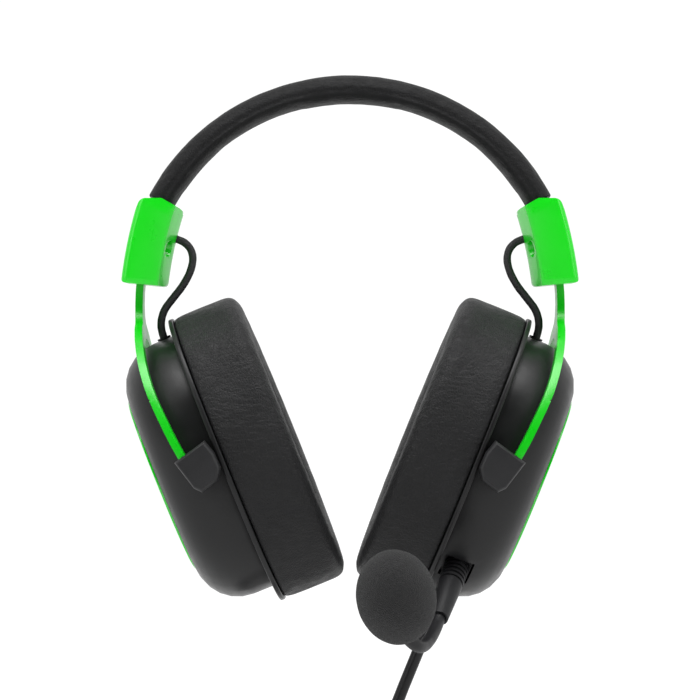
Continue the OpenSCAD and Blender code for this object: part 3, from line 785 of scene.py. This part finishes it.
# colour, range of roughness, spread of shade, scale of its patches, grain's scale and height, constants
HARD_MATERIALS = {
    "green_plastic": (GREEN, (0.26, 0.36), 0.03, 60, (1800, 0.00002),
                      {"Coat_Weight": 0.25, "Coat_Roughness": 0.12}),
    "face_green": (GREEN, (0.16, 0.24), 0.03, 60, (1800, 0.00001),
                   {"Coat_Weight": 1.0, "Coat_Roughness": 0.06}),
    # the yoke's paint takes the darkened green, which is painted shade
    "green_paint": (SHADED_YOKE_GREEN, (0.26, 0.36), 0.03, 60, (500, 0.00003),
                    {"Coat_Weight": 0.1, "Coat_Roughness": 0.15}),
    "shell_black": ((0.009, 0.009, 0.0095), (0.3, 0.4), 0.2, 70, (2600, 0.00003), MATT),
    "block_black": ((0.016, 0.016, 0.017), (0.36, 0.46), 0.2, 90, (3200, 0.00005), MATT),
    "soft_black": ((0.008, 0.008, 0.009), (0.4, 0.55), 0.2, 90, (2200, 0.00004), MATT),
    "lead_black": ((0.006, 0.006, 0.0065), (0.3, 0.42), 0.2, 60, (1500, 0.00003), MATT),
    "flex_plastic": ((0.05, 0.05, 0.053), (0.45, 0.6), 0.2, 80, (1800, 0.00004), {}),
    "spring_steel": ((0.5, 0.51, 0.53), (0.28, 0.4), 0.08, 90, (900, 0.00002), METAL),
    "screw_steel": ((0.3, 0.31, 0.33), (0.25, 0.38), 0.12, 300, (1500, 0.00003), METAL),
    "magnet_steel": ((0.6, 0.6, 0.62), (0.15, 0.25), 0.06, 90, (900, 0.00002), METAL),
    "contact_gold": ((0.83, 0.6, 0.24), (0.16, 0.28), 0.08, 200, (1200, 0.00002), METAL),
    "film_clear": ((0.6, 0.59, 0.55), (0.3, 0.45), 0.08, 120, (900, 0.00003), {}),
    "board_green": ((0.01, 0.1, 0.04), (0.3, 0.45), 0.2, 200, (900, 0.00004), {}),
    "badge_grey": ((0.12, 0.12, 0.13), (0.25, 0.35), 0.12, 150, (1200, 0.00002), {}),
    "braid_black": ((0.012, 0.012, 0.013), (0.5, 0.7), 0.35, 900, (2600, 0.00008), {}),
}


def make_materials():
    """One material for each of the record's material slots, and a few for single pieces."""
    made = {name: hard_material(name, *finish) for name, finish in HARD_MATERIALS.items()}
    made["grey_foam"] = foam_material("grey_foam", (0.25, 0.25, 0.26))
    made["windscreen_foam"] = foam_material("windscreen_foam", (0.021, 0.021, 0.0215))
    made["cloth_black"] = cloth_material("cloth_black", (0.02, 0.02, 0.021), 420)
    made["black_leather"] = leather("black_leather", (0.003, 0.003, 0.0034), 0, 0.7, (0.57, 0.69))
    made["cushion_leather"] = leather("cushion_leather_left", CUSHION_BLACK, -0.1)
    made["cushion_leather_right"] = leather("cushion_leather_right", CUSHION_BLACK, 0.1)
    return made


BEVEL_ANGLE = math.radians(30)
SMOOTH_ANGLE = math.radians(32)


def bevel(obj, width, segments=3):
    """Rounds the edges that are sharper than BEVEL_ANGLE."""
    modifier = obj.modifiers.new("bevel", "BEVEL")
    modifier.width = width
    modifier.segments = segments
    modifier.limit_method = "ANGLE"
    modifier.angle_limit = BEVEL_ANGLE
    modifier.harden_normals = False


def smooth_group():
    """Geometry nodes that shade smooth, but for edges sharper than SMOOTH_ANGLE."""
    group = bpy.data.node_groups.new("smooth_by_angle", "GeometryNodeTree")
    group.interface.new_socket("Geometry", in_out="INPUT", socket_type="NodeSocketGeometry")
    group.interface.new_socket("Geometry", in_out="OUTPUT", socket_type="NodeSocketGeometry")
    start = group.nodes.new("NodeGroupInput")
    end = group.nodes.new("NodeGroupOutput")
    faces = group.nodes.new("GeometryNodeSetShadeSmooth")
    edges = group.nodes.new("GeometryNodeSetShadeSmooth")
    edges.domain = "EDGE"
    angle = group.nodes.new("GeometryNodeInputMeshEdgeAngle")
    small = group.nodes.new("FunctionNodeCompare")
    small.operation = "LESS_THAN"
    small.inputs[1].default_value = SMOOTH_ANGLE
    links = group.links
    links.new(start.outputs[0], faces.inputs["Geometry"])
    links.new(faces.outputs[0], edges.inputs["Geometry"])
    links.new(angle.outputs["Unsigned Angle"], small.inputs[0])
    links.new(small.outputs[0], edges.inputs["Shade Smooth"])
    links.new(edges.outputs[0], end.inputs[0])
    return group


# width of the bevel on each kind of CAD node, in metres
BEVELS = {
    "clip": 0.0006, "clip_cover": 0.0005, "yoke": 0.0004, "front_pivot_block": 0.0005,
    "rear_pivot_block": 0.0005, "baffle": 0.0005, "face_plate": 0.0003, "badge": 0.0002,
    "shell": 0.0003, "slider_guide": 0.0002,
}
WELD_DISTANCE = 0.00001


def finish_cad_nodes(materials):
    """Gives every carried-over CAD node rounded edges and the material of its slot."""
    group = smooth_group()
    slots = {s["node"]: s["material_slot"] for s in frame["record"]["subparts"]}
    for name, obj in nodes.items():
        obj.data.materials.clear()
        slot = "face_green" if name.endswith("face_plate") else slots[name]
        obj.data.materials.append(materials[slot])
        weld = obj.modifiers.new("weld", "WELD")
        weld.merge_threshold = WELD_DISTANCE
        kind = name.split("_", 1)[-1] if name.startswith(("left_", "right_")) else name
        if kind in BEVELS:
            bevel(obj, BEVELS[kind])
        smooth = obj.modifiers.new("smooth", "NODES")
        smooth.node_group = group


# ---------- stage ----------

FLOOR_Z = -0.2499


def make_floor():
    """Plain pale floor that the stored lead lies on."""
    bm = bmesh.new()
    bmesh.ops.create_grid(bm, x_segments=8, y_segments=8, size=4)
    mesh = bpy.data.meshes.new("floor")
    bm.to_mesh(mesh)
    bm.free()
    floor = new_object("floor", mesh)
    floor.location = (0, 0, FLOOR_Z)
    shader = Shader("floor")
    shader.set(Base_Color=(0.2, 0.2, 0.2, 1), Roughness=0.9, Specular_IOR_Level=0.1,
               Emission_Color=(1, 1, 1, 1), Emission_Strength=0.88)
    mesh.materials.append(shader.material)


def make_world():
    """White to the eye; as a light it is bright all round but dimmer from where the wearer looks."""
    world = bpy.data.worlds.new("studio")
    bpy.context.scene.world = world
    world.use_nodes = True
    tree = world.node_tree
    tree.nodes.clear()
    links = tree.links
    coords = tree.nodes.new("ShaderNodeTexCoord")
    split = tree.nodes.new("ShaderNodeSeparateXYZ")
    links.new(coords.outputs["Generated"], split.inputs[0])
    ramp = tree.nodes.new("ShaderNodeValToRGB")
    ramp.color_ramp.interpolation = "EASE"
    low, high = ramp.color_ramp.elements
    low.position, low.color = 0.14, (0.035, 0.035, 0.035, 1)
    high.position, high.color = 0.52, (0.9, 0.9, 0.9, 1)
    shift = tree.nodes.new("ShaderNodeMath")
    shift.operation = "MULTIPLY_ADD"
    shift.inputs[1].default_value = 0.5
    shift.inputs[2].default_value = 0.5
    links.new(split.outputs["Y"], shift.inputs[0])
    links.new(shift.outputs[0], ramp.inputs[0])
    seen = tree.nodes.new("ShaderNodeBackground")
    seen.inputs["Color"].default_value = (1, 1, 1, 1)
    seen.inputs["Strength"].default_value = 1.05
    light = tree.nodes.new("ShaderNodeBackground")
    links.new(ramp.outputs["Color"], light.inputs["Color"])
    ray = tree.nodes.new("ShaderNodeLightPath")
    mix = tree.nodes.new("ShaderNodeMixShader")
    out = tree.nodes.new("ShaderNodeOutputWorld")
    links.new(ray.outputs["Is Camera Ray"], mix.inputs[0])
    links.new(light.outputs[0], mix.inputs[1])
    links.new(seen.outputs[0], mix.inputs[2])
    links.new(mix.outputs[0], out.inputs["Surface"])


def area_light(name, place, target, size, power):
    """Rectangular softbox aimed at a point."""
    data = bpy.data.lights.new(name, "AREA")
    data.shape = "RECTANGLE"
    data.size, data.size_y = size
    data.energy = power
    light = new_object(name, data)
    light.location = place
    aim = Vector(target) - Vector(place)
    light.rotation_euler = aim.to_track_quat("-Z", "Y").to_euler()


def make_lights():
    """A softbox on each side and a stronger one above."""
    middle = (0, 0, -0.11)
    for name, x in (("softbox_left", -1.1), ("softbox_right", 1.1)):
        area_light(name, (x, -0.9, 0.55), middle, (0.7, 1.1), 6)
    area_light("softbox_top", (0, -0.45, 1.2), middle, (1.3, 0.8), 21)


# ---------- everything ----------


def paint(pieces, material):
    """Gives pieces a material."""
    for piece in pieces:
        piece.data.materials.clear()
        piece.data.materials.append(material)


make_camera()
tie = make_tie()
lead = make_lead()
links = make_link_cables()
boom = make_boom()
windscreen = make_windscreen()
sleeve = make_sleeve()
cushion_left, cushion_right = make_cushions()
knits = make_speaker_cloths()

materials = make_materials()
finish_cad_nodes(materials)
paint([lead], materials["lead_black"])
paint([tie], materials["cloth_black"])
paint(links, materials["braid_black"])
paint([boom], materials["soft_black"])
paint([windscreen], materials["windscreen_foam"])
paint([sleeve], materials["black_leather"])
paint([cushion_left], materials["cushion_leather"])
paint([cushion_right], materials["cushion_leather_right"])
paint(knits, materials["cloth_black"])

make_floor()
make_world()
make_lights()
bpy.context.scene.view_settings.view_transform = "Standard"
